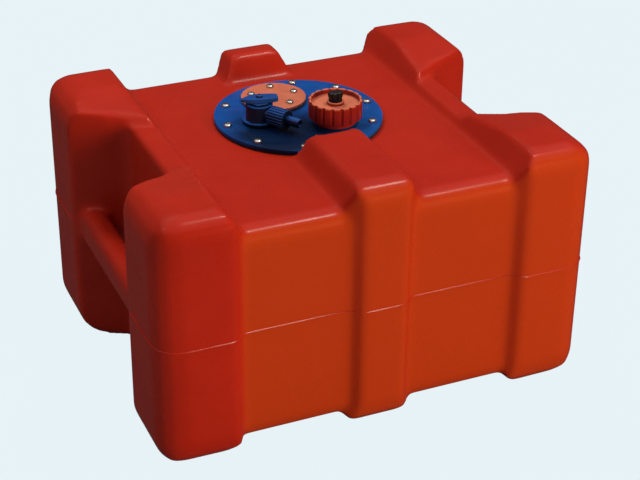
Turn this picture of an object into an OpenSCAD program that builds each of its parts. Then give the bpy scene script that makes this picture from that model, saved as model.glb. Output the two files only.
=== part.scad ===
// Inboard fuel tank: a one-piece moulded polyethylene tank with grip bars at both ends and a blue
// service cover that carries the filler, the sender port and the fuel tap. Millimetres, +Z up.
// The origin is on the floor at the centre of the footprint; the front of the tank faces -Y.

/* [Tank] */
// Overall length over the end ribs, along X
tank_l = 516; // [470:2:570]
// Overall width over the ribs, along Y
tank_w = 424; // [410:2:460]
// Height of the rib crests above the floor
tank_h = 306; // [260:2:360]
// Wall of the moulding
wall = 5; // [4:0.5:7]
// How far the front and back panels lie behind the ribs
panel_recess = 12; // [8:1:18]
// How far the top panel lies below the rib crests
top_step = 29; // [24:1:34]
// Height of the panel underside above the floor
base_step = 15; // [10:1:18]
// Rounding along the front and back edges of the rib crests
edge_r = 22; // [20:0.5:24]
// Rounding along the top edges of the end faces
end_edge_r = 18; // [16:0.5:19]
// Rounding along the front and back edges of the rib feet
foot_r = 34; // [32:0.5:38]
// Rounding along the bottom edges of the end faces
end_foot_r = 30; // [28:0.5:31]
// Rounding of the four upright corners
corner_r = 26; // [25:0.5:27]
// Rounding along the top edges of the panels
panel_r = 12; // [10:0.5:16]
// Rounding along the bottom edges of the panels
panel_foot_r = 16; // [14:0.5:20]
// Chamfer along the inner edges of the rib faces
soft_cut = 4; // [3:0.5:6]
// Chamfer along the inner edges of the rib crests
crest_cut = 7; // [5:0.5:9]
// Chamfer at the crest of the front hump, towards the cover
front_hump_cut = 5; // [4:0.5:8]
// Chamfer at the crest of the back hump, towards the cover
back_hump_cut = 8; // [6:0.5:10]
// Height of the mould parting line above the floor
part_z = 156; // [130:1:180]
// How far the parting bead stands proud
bead_out = 1.2; // [0.5:0.1:2]
// Height of the parting bead
bead_h = 3; // [2:0.5:5]

/* [Ribs] */
// Width of an end rib where it meets the panels
end_rib_w = 98; // [92:1:110]
// How far an end rib leans back from the top panel to its crest
end_lean = 22; // [16:1:26]
// Height of the end rib above the top panel, between the grip posts
waist_rise = 10; // [8:0.5:14]
// Width between the crests of the grip posts, where their tops start to dip
dip_w = 260; // [250:2:280]
// Width of the low waist between the grip posts
waist_w = 92; // [80:2:110]
// Width of the centre rib where it meets the front and back panels
rib_w = 73; // [66:1:80]
// Width of the centre rib where it meets the top panel
hump_w = 88; // [82:1:96]
// Width of the centre rib along its crest
rib_top_w = 48; // [40:1:60]
// Width of the centre rib across its front face
rib_face_w = 50; // [44:1:54]
// Width of the centre rib across its foot
rib_foot_w = 54; // [44:1:60]
// Gap round the cover where the front hump of the centre rib makes room for it
front_hump_gap = 2; // [1:0.5:6]
// How far the front hump leans back from the cover to its crest
front_hump_lean = 3; // [2:0.5:8]
// Gap between the back hump of the centre rib and the cover
back_hump_gap = 14.5; // [6:0.5:20]
// How far the back hump leans back to its crest
back_hump_lean = 18; // [12:1:22]

/* [Grips] */
// Width of the hand recess at the end face
notch_w = 208; // [180:2:230]
// Width of the hand recess at its back wall
notch_back_w = 152; // [130:2:170]
// Depth of the hand recess
notch_d = 56; // [50:1:62]
// Rounding of the inner corners of the hand recess
notch_r = 12; // [11:0.1:13]
// Chamfer at the mouth of the hand recess
notch_cut = 9; // [6:0.5:11]
// Height of the grip bar
bar_h = 40; // [32:1:48]
// Thickness of the grip bar
bar_t = 30; // [26:1:32]
// Rounding of the grip bar
bar_r = 13; // [8:0.5:13]
// How far the grip bar lies behind the end face
bar_set = 2; // [1:0.5:6]

/* [Cover] */
// Radius of the service cover
cover_r = 98.5; // [98:0.5:104]
// Thickness of the service cover
cover_t = 4; // [3:0.5:6]
// Place of the cover centre behind the middle of the tank
cover_y = 33; // [32:0.5:38]
// Thickness of the cover gasket
gasket_t = 2; // [1:0.5:3]
// Radius of the service opening in the tank
port_r = 80; // [79:0.5:82]
// Depth of the moulded ring that holds the inserts
seat_t = 15; // [14:0.5:20]
// Radius of the moulded ring that holds the inserts
seat_r = 95.5; // [94:0.5:97]
// Radius of the cover screw circle
cover_screw_circle = 88; // [87.5:0.1:90]
// Positions on the cover screw circle
cover_screw_places = 10; // [8:1:10]
// Depth of the locating rim under the cover
rim_h = 6; // [4:0.5:10]
// Thickness of the locating rim
rim_t = 3; // [2:0.5:4]
// Radial gap between the locating rim and the service opening
rim_gap = 0.5; // [0.3:0.1:1]

/* [Cover screws] */
// Radius of a cover screw shank
screw_r = 2.5; // [2:0.1:3]
// Radius of a cover screw head
screw_head_r = 4.75; // [4:0.05:5.5]
// Height of a cover screw head
screw_head_h = 3.2; // [2.5:0.1:4]
// Length of a cover screw below its head
screw_l = 14; // [12:0.5:15]
// Radius of a brass insert in the tank
insert_r = 3.6; // [3.4:0.1:4.2]
// Length of a brass insert in the tank
insert_l = 12; // [11:0.5:13]

/* [Sender port] */
// Place of the sender port across the cover
blank_x = -12; // [-14:0.5:-10]
// Place of the sender port behind the cover centre
blank_y = 47.5; // [46:0.5:49]
// Radius of the sender port blank
blank_r = 38.5; // [36:0.5:40]
// Thickness of the sender port blank
blank_t = 3.5; // [2.5:0.5:5]
// Thickness of the sender port gasket
blank_gasket_t = 1.5; // [1:0.5:2.5]
// Radius of the sender port
sender_port_r = 20; // [18:0.5:21]
// Radius of the sender screw circle
blank_screw_circle = 27; // [26.5:0.5:28]
// Turn of the first sender screw about the port
blank_screw_turn = 5; // [0:1:10]
// Radius of a sender screw shank
blank_screw_r = 2; // [1.8:0.1:2.2]
// Radius of a sender screw head
blank_head_r = 4.2; // [3.6:0.1:4.6]
// Height of a sender screw head
blank_head_h = 2.8; // [2:0.1:3.2]
// Length of a sender screw below its head
blank_screw_l = 12.5; // [11:0.5:12.5]
// Radius of a brass insert in the cover
blank_insert_r = 2.9; // [2.8:0.1:3.2]
// Length of a brass insert in the cover
blank_insert_l = 9.5; // [9:0.5:10]
// Depth of the insert boss under the cover
blank_boss_h = 8; // [7:0.5:12]
// Radius of the insert boss under the cover
blank_boss_r = 33; // [32:0.5:34]

/* [Filler] */
// Place of the filler across the cover
filler_x = 31; // [29:0.5:33]
// Place of the filler behind the cover centre
filler_y = -36; // [-38:0.5:-34]
// Outer radius of the filler neck
neck_r = 21.5; // [20:0.5:22]
// Wall of the filler neck
neck_wall = 3; // [2.5:0.5:4]
// Height of the filler neck above the cover
neck_h = 17; // [14:0.5:22]
// Length of the filler neck below the cover
neck_drop = 12; // [8:1:20]
// Thickness of the cap seal
cap_seal_t = 2; // [1:0.5:3]
// Radius over the cap lobes
cap_r = 32; // [31.5:0.5:33]
// Thickness of the cap top under its dish
cap_top_t = 4; // [3:0.5:6]
// Depth of the dish in the cap top
dish_d = 6; // [4:0.5:7]
// Radius of the dish in the cap top
dish_r = 28; // [24:0.5:28.5]
// Lobes round the cap
cap_lobes = 18; // [14:1:24]
// Radius of the groove between two lobes
lobe_groove_r = 2; // [1.5:0.1:2.2]
// Wall of the threaded skirt inside the cap
cap_skirt_t = 3; // [2.5:0.5:4]
// Wall of the outer grip of the cap
cap_grip_t = 4.5; // [4:0.5:5]
// Gap between the cap and the cover
cap_gap = 2; // [1:0.5:4]
// Radial clearance of the cap thread
thread_gap = 0.3; // [0.3:0.05:0.5]

/* [Vent screw] */
// Radius of the vent boss on the cap
vent_boss_r = 10; // [9:0.5:12]
// Height of the vent boss
vent_boss_h = 4; // [3:0.5:6]
// Radius of the vent screw stem
vent_stem_r = 3; // [2.5:0.1:4]
// Length of the vent screw stem
vent_stem_l = 9; // [7:0.5:10]
// Thickness of the vent seal
vent_seal_t = 1.2; // [0.8:0.1:2]
// Radius of the vent knob
vent_knob_r = 8; // [7:0.5:9]
// Height of the vent knob
vent_knob_h = 9.5; // [8:0.5:12]
// Flutes round the vent knob
vent_flutes = 8; // [6:1:12]
// Radius of a flute of the vent knob
flute_r = 1.1; // [0.8:0.1:1.4]

/* [Fuel tap] */
// Place of the tap across the cover
tap_x = -50; // [-52:0.5:-48]
// Place of the tap behind the cover centre
tap_y = -3; // [-5:0.5:-1]
// Radius of the tap flange
tap_flange_r = 17; // [16:0.5:19]
// Thickness of the tap flange
tap_flange_t = 3; // [2.5:0.5:4]
// Thickness of the tap seal
tap_seal_t = 1.5; // [1:0.5:2]
// Radius of the tap seal
tap_seal_r = 15.5; // [14:0.5:16]
// Radius of the tap barrel
tap_barrel_r = 13.5; // [13:0.5:15]
// Height of the tap barrel above its flange
tap_barrel_h = 19; // [18.5:0.5:24]
// Radius of the threaded stem through the cover
tap_stem_r = 8; // [7.5:0.5:9]
// Length of the threaded stem under the cover
tap_stem_l = 24; // [22:1:30]
// Size of the tap nut over its flats
tap_nut_flats = 26; // [24:0.5:28]
// Thickness of the tap nut
tap_nut_h = 8; // [6:0.5:10]
// Radius of the turning plug
plug_r = 9; // [8:0.5:9.5]
// Height of the turning plug
plug_h = 13; // [12:0.5:14]
// Radius of the plug stem
plug_stem_r = 5; // [4.5:0.1:5.5]
// Radius of the fuel way
fuel_way_r = 3.4; // [2.5:0.1:3.6]
// Radius of the port in the side of the plug
plug_port_r = 3.8; // [3.7:0.1:4]
// Thickness of the plug seal
plug_seal_t = 2; // [1.5:0.1:2.5]
// Thickness of the gland nut above the barrel
gland_t = 2.5; // [2:0.5:4]
// Size of the gland nut over its flats
gland_flats = 22; // [21:0.5:24]
// Length of the lever
lever_l = 42; // [36:1:48]
// Width of the lever
lever_w = 15; // [14:0.5:18]
// Radius of the lever hub
lever_hub_r = 9; // [8:0.5:10]
// Thickness of the lever
lever_t = 5.5; // [5:0.5:7]
// Turn of the lever about the tap
lever_turn = -13; // [-20:1:0]
// Radius of the lever screw shank
lever_screw_r = 2; // [1.5:0.1:2.5]
// Length of the lever screw below its head
lever_screw_l = 12; // [10:0.5:13]
// Radius of the lever screw head
lever_head_r = 4; // [3.5:0.1:4.5]
// Height of the lever screw head
lever_head_h = 2.5; // [2:0.1:3]

/* [Hose union] */
// Turn of the hose union about the tap
union_turn = -58; // [-65:1:-55]
// Height of the hose union above the tap flange
union_z = 8.5; // [8:0.1:9]
// Radius of the threaded spigot on the tap
spigot_r = 8.5; // [8:0.1:9]
// Reach of the threaded spigot from the tap axis
spigot_reach = 25; // [24:0.5:28]
// Radius over the union nut
nut_r = 11.5; // [11:0.1:11.6]
// Gap between the union nut and the tap flange
nut_gap = 0.5; // [0.4:0.1:1]
// Length of the union nut
nut_l = 22; // [20:0.5:24]
// Ribs round the union nut
nut_ribs = 20; // [16:1:28]
// Radius of the groove between two nut ribs
nut_groove_r = 0.9; // [0.6:0.1:1.1]
// Radius of the hose tail
tail_r = 5.5; // [5:0.1:6]
// Length of the hose tail outside the union nut
tail_l = 18; // [16:0.5:20]
// Radius of the hose tail inside the union nut
tail_neck_r = 5; // [4.5:0.1:5]
// Chamfer at the end of the hose tail
tail_chamfer = 1; // [0.5:0.1:1.2]
// Thickness of the hose tail flange
tail_flange_t = 3; // [2:0.5:4]

/* [Pickup] */
// Outer radius of the pickup tube
tube_r = 5; // [4.5:0.1:5.5]
// Wall of the pickup tube
tube_wall = 1.2; // [0.8:0.1:1.5]
// How far the pickup tube sits in the tap stem
tube_seat = 14; // [10:1:16]
// Height of the pickup tube end above the strainer floor
tube_lift = 19; // [16:1:22]
// Gap between the strainer and the tank floor
strainer_gap = 4; // [2:0.5:8]
// Outer radius of the strainer
strainer_r = 11; // [9:0.5:13]
// Wall of the strainer
strainer_wall = 1.6; // [1.2:0.1:2]
// Height of the strainer
strainer_h = 38; // [32:1:46]
// Windows round the strainer
strainer_windows = 6; // [4:1:6]
// Width of a strainer window
window_w = 5.5; // [4:0.5:6]
// Height of a strainer window
window_h = 19; // [14:1:20]
// Height of the window sill above the strainer base
window_sill = 7.5; // [4:0.5:8]

/* [Hidden] */
$fn = 64;
// Radial clearance of pieces that are pressed or screwed together
snug = 0.05;
// Radial clearance of pieces that turn in each other
running = 0.08;
// Clearance between flat faces that turn over each other
lift = 0.3;
// Small overlap that makes a cut run through a face
through = 1;
// Least rounding left on an inner corner
least_r = 1;
// Height of the recess in a screw head
drive_depth = 1.4;
// Share of a screw head taken by its recess
drive_share = 0.45;
// Share of a screw head left at its crown
crown_share = 0.8;
// Thickness of the closed end of an insert
insert_floor = 1.5;

top_z = tank_h - top_step;
waist_z = top_z + waist_rise;
panel_y = tank_w / 2 - panel_recess;
end_x = tank_l / 2;
side_y = tank_w / 2;
rib_base_x = end_x - end_rib_w;
notch_x = end_x - notch_d;
core_x = (rib_base_x + notch_x) / 2;
hump_notch_y = cover_y - cover_r / 2;
hump_back_y = cover_y + cover_r + back_hump_gap;
hump_root_z = top_z - 2 * wall;
// The rib sides keep one slope from the rib face past the panels to a root beyond the humps
rib_root_x = hump_w / 2 + wall;
rib_root_y = side_y - panel_recess * (2 * rib_root_x - rib_face_w) / (rib_w - rib_face_w);

cover_z = top_z + gasket_t;
cover_top = cover_z + cover_t;
rim_r = port_r - rim_gap;
screw_slot = 360 / cover_screw_places;
blank_base = cover_top + blank_gasket_t;
blank_screws = 5;

neck_top = cover_top + neck_h;
cap_ceiling = neck_top + cap_seal_t;
cap_base = cover_top + cap_gap;
dish_z = cap_ceiling + cap_top_t;
cap_top = dish_z + dish_d;
vent_boss_top = dish_z + vent_boss_h;
vent_knob_z = vent_boss_top + vent_seal_t;

tap_base = cover_top + tap_seal_t;
tap_flange_top = tap_base + tap_flange_t;
barrel_top = tap_flange_top + tap_barrel_h;
plug_z = barrel_top - plug_h - plug_seal_t - gland_t;
chamber_z = plug_z - lift;
plug_top = plug_z + plug_h;
gland_z = plug_top + plug_seal_t;
gland_top = barrel_top + gland_t;
lever_z = gland_top + lift;
lever_top = lever_z + lever_t;
lever_socket = lever_t / 2;
tap_stem_end = cover_z - tap_stem_l;
union_axis_z = tap_flange_top + union_z;
nut_start = tap_flange_r + nut_gap;
nut_end = nut_start + nut_l;
tail_flange_start = spigot_reach + snug;
tail_flange_end = tail_flange_start + tail_flange_t;
tail_start = nut_end + lift;
tail_end = nut_end + tail_l;

floor_z = base_step + wall;
strainer_z = floor_z + strainer_gap;
tube_top = tap_stem_end + tube_seat;
tube_end = strainer_z + tube_lift;

// Outline helpers: outlines run anticlockwise, and an inset draws the same outline further in.

function unit(v) = v / norm(v);
function inward(p, q) = let (u = unit(q - p)) [-u.y, u.x];
function shifted_corner(a, b, c, d) =
    let (m = inward(a, b), n = inward(b, c)) b + (m + n) * d / (1 + m * n);
function before(p, i) = p[(i + len(p) - 1) % len(p)];
function after(p, i) = p[(i + 1) % len(p)];
function shifted(p, d) =
    [for (i = [0 : len(p) - 1]) shifted_corner(before(p, i), p[i], after(p, i), d)];
function turns_left(a, b, c) = cross(b - a, c - b) > 0;

// The sliver between a corner and the arc that rounds it, with its tip pushed out by beyond
module corner_sliver(a, b, c, r, beyond) {
    u = unit(a - b);
    v = unit(c - b);
    half = acos(u * v) / 2;
    middle = b + unit(u + v) * r / sin(half);
    reach = r / tan(half);
    difference() {
        polygon([b - unit(u + v) * beyond, b + u * reach, middle, b + v * reach]);
        translate(middle) circle(r);
    }
}

// The triangle that a chamfer takes off a corner; the inset keeps the wall even behind it
module corner_cut(a, b, c, leg, inset) {
    u = unit(a - b);
    v = unit(c - b);
    half = acos(u * v) / 2;
    reach = leg + inset * (1 - 1 / sin(half)) / cos(half);
    polygon([b - unit(u + v) * through, b + u * reach, b + v * reach]);
}

// An outline with its corners finished: a radius rounds a corner, a negative number is the leg of
// a chamfer, and 0 leaves the corner sharp
module rounded(points, finish, inset = 0) {
    p = shifted(points, inset);
    all = [for (i = [0 : len(p) - 1]) i];
    arcs = [for (i = all) if (finish[i] > 0) i];
    cuts = [for (i = all) if (finish[i] < 0) i];
    outer = [for (i = arcs) if (turns_left(before(p, i), p[i], after(p, i))) i];
    inner = [for (i = arcs) if (!turns_left(before(p, i), p[i], after(p, i))) i];
    difference() {
        union() {
            polygon(p);
            for (i = inner) corner_sliver(before(p, i), p[i], after(p, i), finish[i] + inset, 0);
        }
        for (i = outer) {
            corner_sliver(before(p, i), p[i], after(p, i), max(finish[i] - inset, least_r), through);
        }
        for (i = cuts) corner_cut(before(p, i), p[i], after(p, i), -finish[i], inset);
    }
}

// Extrusions of a front view along Y and of a side view along X
module along_y(l) { rotate([90, 0, 0]) linear_extrude(l, center = true) children(); }
module along_x(l) { rotate([90, 0, 90]) linear_extrude(l, center = true) children(); }
module both_ends() {
    children();
    mirror([1, 0, 0]) children();
}

// Tank outlines

end_front = [[rib_base_x + base_step, 0], [end_x, 0], [end_x, tank_h], [rib_base_x + end_lean, tank_h],
             [rib_base_x, top_z], [rib_base_x, base_step]];
end_front_r = [0, end_foot_r, end_edge_r, -crest_cut, 0, 0];
end_plan = [[rib_base_x + panel_recess, -side_y], [end_x, -side_y], [end_x, -notch_w / 2],
            [notch_x, -notch_back_w / 2], [notch_x, notch_back_w / 2], [end_x, notch_w / 2],
            [end_x, side_y], [rib_base_x + panel_recess, side_y],
            [rib_base_x, panel_y], [rib_base_x, -panel_y]];
end_plan_r = [-soft_cut, corner_r, -notch_cut, notch_r, notch_r, -notch_cut, corner_r, -soft_cut, 0, 0];
end_side = [[-side_y, 0], [side_y, 0], [side_y, tank_h], [dip_w / 2, tank_h],
            [waist_w / 2, waist_z], [-waist_w / 2, waist_z], [-dip_w / 2, tank_h],
            [-side_y, tank_h]];
end_side_r = [foot_r, foot_r, edge_r, 0, 0, 0, 0, edge_r];

rib_front = [[-rib_foot_w / 2, 0], [rib_foot_w / 2, 0], [hump_w / 2, base_step], [hump_w / 2, top_z],
             [rib_top_w / 2, tank_h], [-rib_top_w / 2, tank_h], [-hump_w / 2, top_z],
             [-hump_w / 2, base_step]];
rib_front_r = [0, 0, 0, 0, -crest_cut, -crest_cut, 0, 0];
rib_plan = [[-rib_face_w / 2, -side_y], [rib_face_w / 2, -side_y], [rib_root_x, -rib_root_y],
            [rib_root_x, rib_root_y], [rib_face_w / 2, side_y], [-rib_face_w / 2, side_y],
            [-rib_root_x, rib_root_y], [-rib_root_x, -rib_root_y]];
rib_plan_r = [-soft_cut, -soft_cut, 0, 0, -soft_cut, -soft_cut, 0, 0];
rib_side = [[-side_y, 0], [side_y, 0], [side_y, tank_h], [hump_back_y + back_hump_lean, tank_h],
            [hump_back_y, top_z], [hump_back_y, hump_root_z], [hump_notch_y, hump_root_z],
            [hump_notch_y, tank_h], [-side_y, tank_h]];
rib_side_r = [foot_r, foot_r, edge_r, -back_hump_cut, 0, 0, 0, 0, edge_r];

core_side = [[-panel_y, base_step], [panel_y, base_step], [panel_y, top_z], [-panel_y, top_z]];
core_side_r = [panel_foot_r, panel_foot_r, panel_r, panel_r];
bar_front = [[end_x - bar_set - bar_t, part_z - bar_h / 2], [end_x - bar_set, part_z - bar_h / 2],
             [end_x - bar_set, part_z + bar_h / 2], [end_x - bar_set - bar_t, part_z + bar_h / 2]];
bar_front_r = [bar_r, bar_r, bar_r, bar_r];

module end_rib(inset) {
    intersection() {
        along_y(tank_w) rounded(end_front, end_front_r, inset);
        linear_extrude(tank_h) rounded(end_plan, end_plan_r, inset);
        along_x(2 * tank_l) rounded(end_side, end_side_r, inset);
    }
}

// The room round the cover that the front hump leaves, with the chamfer of its crest
module hump_room(inset) {
    foot = cover_r + front_hump_gap + inset;
    crest = foot + front_hump_lean;
    cut = front_hump_cut - (2 - sqrt(2)) * inset;
    crest_z = tank_h - inset;
    on_cover() rotate_extrude() {
        polygon([[0, hump_root_z], [foot, hump_root_z], [foot, top_z], [crest, crest_z - cut],
                 [crest + cut, crest_z], [crest + cut, tank_h + through], [0, tank_h + through]]);
    }
}

module centre_rib(inset) {
    difference() {
        intersection() {
            along_y(tank_w) rounded(rib_front, rib_front_r, inset);
            linear_extrude(tank_h) rounded(rib_plan, rib_plan_r, inset);
            along_x(tank_l) rounded(rib_side, rib_side_r, inset);
        }
        hump_room(inset);
    }
}

// The whole tank form; the inset form is the room for the fuel
module tank_form(inset) {
    along_x(2 * (core_x - inset)) rounded(core_side, core_side_r, inset);
    both_ends() end_rib(inset);
    centre_rib(inset);
}

module parting_bead() {
    translate([0, 0, part_z - bead_h / 2]) linear_extrude(bead_h) {
        square([2 * core_x, 2 * (panel_y + bead_out)], center = true);
        both_ends() rounded(end_plan, end_plan_r, -bead_out);
        rounded(rib_plan, rib_plan_r, -bead_out);
    }
}

// A true tube about Z
module pipe(outer, inner, h) {
    difference() {
        cylinder(h = h, r = outer);
        translate([0, 0, -through]) cylinder(h = h + 2 * through, r = inner);
    }
}

// A hexagon measured over its flats
module hexagon(flats) { circle(flats / 2 / cos(30), $fn = 6); }

// Places on the cover
module on_cover(z = 0) { translate([0, cover_y, z]) children(); }
module at_cover_screws() {
    for (i = [0 : cover_screw_places - 1]) {
        a = i * screw_slot;
        spot = cover_screw_circle * [cos(a), sin(a)];
        if (norm(spot - [blank_x, blank_y]) > blank_r + screw_head_r) on_cover() translate(spot) children();
    }
}
module at_sender(z = 0) { on_cover(z) translate([blank_x, blank_y]) children(); }
module at_sender_screws() {
    for (i = [0 : blank_screws - 1]) {
        rotate(blank_screw_turn + i * 360 / blank_screws) translate([blank_screw_circle, 0]) children();
    }
}
module at_filler(z = 0) { on_cover(z) translate([filler_x, filler_y]) children(); }
module at_tap(z = 0) { on_cover(z) translate([tap_x, tap_y]) children(); }
// Points the Z axis of its children along the hose union
module along_union() { at_tap(union_axis_z) rotate(union_turn) rotate([0, 90, 0]) children(); }

// A pan-head screw whose head rests at z = 0, with a hexagon recess
module pan_screw(shank_r, l, head_r, head_h) {
    translate([0, 0, -l]) cylinder(h = l, r = shank_r);
    difference() {
        cylinder(h = head_h, r1 = head_r, r2 = crown_share * head_r);
        translate([0, 0, head_h - drive_depth]) linear_extrude(head_h) hexagon(2 * drive_share * head_r);
    }
}

// A blind threaded insert whose mouth is at z = 0
module blind_insert(r, bore_r, l) {
    difference() {
        translate([0, 0, -l]) cylinder(h = l, r = r);
        translate([0, 0, insert_floor - l]) cylinder(h = l, r = bore_r);
    }
}

// Sub-parts

module tank_shell() {
    color("#b02c1c") difference() {
        union() {
            difference() {
                union() {
                    tank_form(0);
                    parting_bead();
                    both_ends() along_y(notch_w + 2 * (notch_cut + through)) rounded(bar_front, bar_front_r);
                }
                tank_form(wall);
            }
            on_cover(top_z - seat_t) cylinder(h = seat_t - wall / 2, r = seat_r);
        }
        on_cover(top_z - seat_t - through) cylinder(h = seat_t + 2 * through, r = port_r);
        at_cover_screws() translate([0, 0, top_z - insert_l - snug]) cylinder(h = tank_h, r = insert_r + snug);
    }
}

module cover_inserts() {
    color("#b8923f") at_cover_screws() translate([0, 0, top_z]) blind_insert(insert_r, screw_r + snug, insert_l);
}

module cover_gasket() {
    color("#1c1c1e") difference() {
        on_cover(top_z) pipe(cover_r, port_r, gasket_t);
        at_cover_screws() translate([0, 0, top_z - through]) cylinder(h = 2 * tank_h, r = screw_r + lift);
    }
}

module cover_plate() {
    color("#1d4f94") difference() {
        union() {
            on_cover(cover_z) cylinder(h = cover_t, r = cover_r);
            on_cover(cover_z - rim_h) pipe(rim_r, rim_r - rim_t, rim_h + cover_t / 2);
            at_filler(cover_z - neck_drop) cylinder(h = neck_top - cover_z + neck_drop, r = neck_r);
            intersection() {
                at_sender(cover_z - blank_boss_h) cylinder(h = blank_boss_h + cover_t / 2, r = blank_boss_r);
                on_cover() cylinder(h = tank_h, r = rim_r - rim_t / 2);
            }
        }
        at_filler() cylinder(h = 2 * tank_h, r = neck_r - neck_wall);
        at_sender() cylinder(h = 2 * tank_h, r = sender_port_r);
        at_sender(cover_top - blank_insert_l - snug) at_sender_screws() {
            cylinder(h = tank_h, r = blank_insert_r + snug);
        }
        at_tap() cylinder(h = 2 * tank_h, r = tap_stem_r + snug);
        at_cover_screws() cylinder(h = 2 * tank_h, r = screw_r + lift);
    }
}

module cover_screws() {
    color("#c9ccd0") at_cover_screws() translate([0, 0, cover_top]) {
        pan_screw(screw_r, screw_l, screw_head_r, screw_head_h);
    }
}

module sender_inserts() {
    color("#b8923f") at_sender(cover_top) at_sender_screws() {
        blind_insert(blank_insert_r, blank_screw_r + snug, blank_insert_l);
    }
}

module sender_gasket() {
    color("#1c1c1e") at_sender(cover_top) difference() {
        pipe(blank_r, sender_port_r, blank_gasket_t);
        at_sender_screws() translate([0, 0, -through]) cylinder(h = tank_h, r = blank_screw_r + lift);
    }
}

module sender_blank() {
    color("#c9694c") at_sender(blank_base) difference() {
        cylinder(h = blank_t, r = blank_r);
        at_sender_screws() translate([0, 0, -through]) cylinder(h = tank_h, r = blank_screw_r + lift);
    }
}

module sender_screws() {
    color("#c9ccd0") at_sender(blank_base + blank_t) at_sender_screws() {
        pan_screw(blank_screw_r, blank_screw_l, blank_head_r, blank_head_h);
    }
}

module cap_seal() {
    color("#1c1c1e") at_filler(neck_top) pipe(neck_r, neck_r - neck_wall, cap_seal_t);
}

module filler_cap() {
    bore_r = neck_r + thread_gap;
    color("#b5231f") at_filler(cap_base) difference() {
        union() {
            difference() {
                linear_extrude(cap_top - cap_base) difference() {
                    circle(cap_r);
                    for (i = [0 : cap_lobes - 1]) {
                        rotate(i * 360 / cap_lobes) translate([cap_r, 0]) circle(lobe_groove_r);
                    }
                }
                translate([0, 0, dish_z - cap_base]) cylinder(h = cap_top, r = dish_r);
            }
            cylinder(h = vent_boss_top - cap_base, r = vent_boss_r);
        }
        translate([0, 0, -through]) cylinder(h = cap_ceiling - cap_base + through, r = bore_r);
        translate([0, 0, -through]) {
            pipe(cap_r - cap_grip_t, bore_r + cap_skirt_t, cap_ceiling - cap_base + through);
        }
        cylinder(h = tank_h, r = vent_stem_r + running);
    }
}

module vent_seal() {
    color("#1c1c1e") at_filler(vent_boss_top) {
        pipe(vent_knob_r, vent_stem_r + running, vent_seal_t);
    }
}

module vent_knob() {
    color("#161616") at_filler(vent_knob_z) {
        translate([0, 0, -vent_stem_l]) cylinder(h = vent_stem_l + through, r = vent_stem_r);
        linear_extrude(vent_knob_h) difference() {
            circle(vent_knob_r);
            for (i = [0 : vent_flutes - 1]) {
                rotate(i * 360 / vent_flutes) translate([vent_knob_r, 0]) circle(flute_r);
            }
        }
    }
}

module tap_seal() {
    color("#1c1c1e") at_tap(cover_top) pipe(tap_seal_r, tap_stem_r + snug, tap_seal_t);
}

module tap_body() {
    color("#17407c") difference() {
        union() {
            at_tap(tap_stem_end) cylinder(h = tap_flange_top - tap_stem_end, r = tap_stem_r);
            at_tap(tap_base) cylinder(h = tap_flange_t, r = tap_flange_r);
            at_tap(tap_base) cylinder(h = barrel_top - tap_base, r = tap_barrel_r);
            along_union() cylinder(h = spigot_reach, r = spigot_r);
        }
        at_tap(chamber_z) cylinder(h = tank_h, r = plug_r + running);
        at_tap(tap_stem_end - through) cylinder(h = tank_h / 2, r = fuel_way_r);
        at_tap(tap_stem_end - through) cylinder(h = tube_seat + through, r = tube_r + snug);
        along_union() cylinder(h = 2 * spigot_reach, r = fuel_way_r);
    }
}

module tap_nut() {
    color("#17407c") at_tap(cover_z - tap_nut_h) difference() {
        linear_extrude(tap_nut_h) hexagon(tap_nut_flats);
        translate([0, 0, -through]) cylinder(h = tap_nut_h + 2 * through, r = tap_stem_r + snug);
    }
}

module tap_plug() {
    color("#c2a35a") difference() {
        at_tap(plug_z) {
            cylinder(h = plug_h, r = plug_r);
            cylinder(h = lever_z + lever_socket - plug_z, r = plug_stem_r);
        }
        at_tap(plug_z - through) cylinder(h = union_axis_z - plug_z + through, r = fuel_way_r);
        along_union() cylinder(h = 2 * plug_r, r = plug_port_r);
        at_tap(lever_top - lever_screw_l - snug) cylinder(h = tank_h, r = lever_screw_r + snug);
    }
}

module plug_seal() {
    color("#1c1c1e") at_tap(plug_top) pipe(plug_r - lift, plug_stem_r + snug, plug_seal_t);
}

module gland_nut() {
    color("#17407c") at_tap() difference() {
        union() {
            translate([0, 0, gland_z + lift]) cylinder(h = barrel_top - gland_z, r = plug_r);
            translate([0, 0, barrel_top]) linear_extrude(gland_t) hexagon(gland_flats);
        }
        cylinder(h = 2 * tank_h, r = plug_stem_r + running);
    }
}

module tap_lever() {
    end_r = lever_w / 2;
    color("#1d4f94") at_tap(lever_z) rotate(lever_turn) difference() {
        linear_extrude(lever_t) {
            translate([-lever_l / 2 + end_r, 0]) circle(end_r);
            translate([-lever_l / 2 + end_r, -end_r]) square([lever_l - end_r, lever_w]);
            circle(lever_hub_r);
        }
        translate([0, 0, -through]) cylinder(h = lever_socket + through, r = plug_stem_r + snug);
        cylinder(h = tank_h, r = lever_screw_r + lift);
    }
}

module lever_screw() {
    color("#c9ccd0") at_tap(lever_top) pan_screw(lever_screw_r, lever_screw_l, lever_head_r, lever_head_h);
}

module union_nut() {
    color("#17407c") along_union() translate([0, 0, nut_start]) difference() {
        linear_extrude(nut_l) difference() {
            circle(nut_r);
            for (i = [0 : nut_ribs - 1]) {
                rotate(i * 360 / nut_ribs) translate([nut_r, 0]) circle(nut_groove_r);
            }
        }
        translate([0, 0, -through]) {
            cylinder(h = tail_flange_end + snug - nut_start + through, r = spigot_r + snug);
        }
        cylinder(h = 2 * nut_l, r = tail_r + snug);
    }
}

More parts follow.
